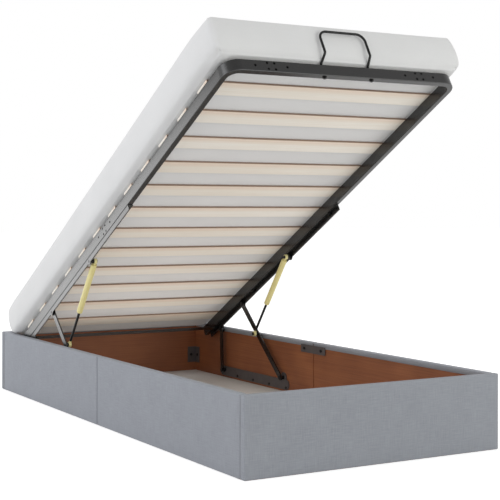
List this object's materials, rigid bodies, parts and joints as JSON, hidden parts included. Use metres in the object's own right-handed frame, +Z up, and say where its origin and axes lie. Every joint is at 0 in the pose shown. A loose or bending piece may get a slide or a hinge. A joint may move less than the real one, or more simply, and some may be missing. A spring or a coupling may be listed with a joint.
{
  "type": "ottoman storage bed",
  "caption": "Upholstered ottoman storage bed whose slatted platform, with its mattress, lifts at the foot on links and gas struts over an open storage base.",
  "frame": {"origin": "on the floor, under the centre of the box base", "axes": "+Z up, +Y from the foot end, which lifts, to the head end, +X to the right for someone standing at the foot and facing the head"},
  "size_m": [0.93, 2.03, 1.3182],
  "materials": {
    "grey_linen": "matte",
    "brown_board": "satin",
    "pine": "matte",
    "floor_board": "satin",
    "dark_steel": "satin",
    "black_fastener": "satin",
    "yellow_cylinder": "satin",
    "yellow_eye": "satin",
    "black_rod": "gloss",
    "birch": "satin",
    "white_ticking": "matte",
    "black_powder_coat": "satin"
  },
  "bodies": {
    "base": {"left_foot_board": "brown_board", "left_head_board": "brown_board", "right_foot_board": "brown_board", "right_head_board": "brown_board", "foot_board": "brown_board", "head_board": "brown_board", "left_foot_cover": "grey_linen", "left_head_cover": "grey_linen", "right_foot_cover": "grey_linen", "right_head_cover": "grey_linen", "foot_cover": "grey_linen", "head_cover": "grey_linen", "seam_plates": "dark_steel", "seam_bolts": "black_fastener", "corner_brackets": "dark_steel", "corner_bolts": "black_fastener", "side_battens": "pine", "cross_battens": "pine", "foot_floor_panel": "floor_board", "head_floor_panel": "floor_board", "foot_rests": "pine", "left_base_rail": "dark_steel", "right_base_rail": "dark_steel", "rail_screws": "black_fastener", "base_pivots": "black_fastener"},
    "lift_arms": {"left_lift_arm": "black_powder_coat", "right_lift_arm": "black_powder_coat", "arm_pins": "black_fastener"},
    "platform": {"tube_frame": "black_powder_coat", "left_upper_rail": "black_powder_coat", "right_upper_rail": "black_powder_coat", "upper_rail_bolts": "black_fastener", "tie_strap": "black_powder_coat", "platform_pivots": "black_fastener", "slat_01": "birch", "slat_02": "birch", "slat_03": "birch", "slat_04": "birch", "slat_05": "birch", "slat_06": "birch", "slat_07": "birch", "slat_08": "birch", "slat_09": "birch", "slat_10": "birch", "slat_11": "birch", "slat_12": "birch", "slat_screws": "black_fastener", "mattress": "white_ticking", "handle": "black_powder_coat", "handle_nuts": "black_fastener"},
    "gas_rods": {"left_gas_rod": "black_rod", "right_gas_rod": "black_rod", "rod_eyes": "yellow_eye"},
    "gas_cylinders": {"left_gas_cylinder": "yellow_cylinder", "right_gas_cylinder": "yellow_cylinder", "cylinder_eyes": "yellow_eye", "cylinder_pins": "black_fastener"},
    "rear_links": {"left_rear_link": "black_powder_coat", "right_rear_link": "black_powder_coat", "rear_link_pins": "black_fastener"}
  },
  "joints": [
    {"name": "lift", "type": "hinge", "parent": "base", "child": "lift_arms", "pos_m": [0, 0.2284, 0.08], "axis": [1, 0, 0], "range_deg": [-27.33, 0], "stiffness_Nm_per_rad": 250, "springref_deg": 108.86},
    {"name": "platform_tilt", "type": "hinge", "parent": "lift_arms", "child": "platform", "pos_m": [0, 0.53499, 0.35495], "axis": [1, 0, 0], "range_deg": [0, 57.09]},
    {"name": "rear_swing", "type": "hinge", "parent": "base", "child": "rear_links", "pos_m": [0, 0.70789, 0.056], "axis": [1, 0, 0], "range_deg": [-48.77, 0]},
    {"name": "strut_swing", "type": "hinge", "parent": "lift_arms", "child": "gas_rods", "pos_m": [0, 0.40797, 0.24104], "axis": [1, 0, 0], "range_deg": [0, 71.22]},
    {"name": "strut_stroke", "type": "slide", "parent": "gas_rods", "child": "gas_cylinders", "axis": [0, -0.5974, 0.8019], "range_m": [-0.14177, 0]}
  ],
  "couplings": [
    {"joint": "platform_tilt", "follows": "lift", "ratio": -2.0882},
    {"joint": "rear_swing", "follows": "lift", "ratio": 1.7837},
    {"joint": "strut_swing", "follows": "lift", "ratio": -2.6053},
    {"joint": "strut_stroke", "follows": "lift", "m_per_rad": 0.297}
  ]
}
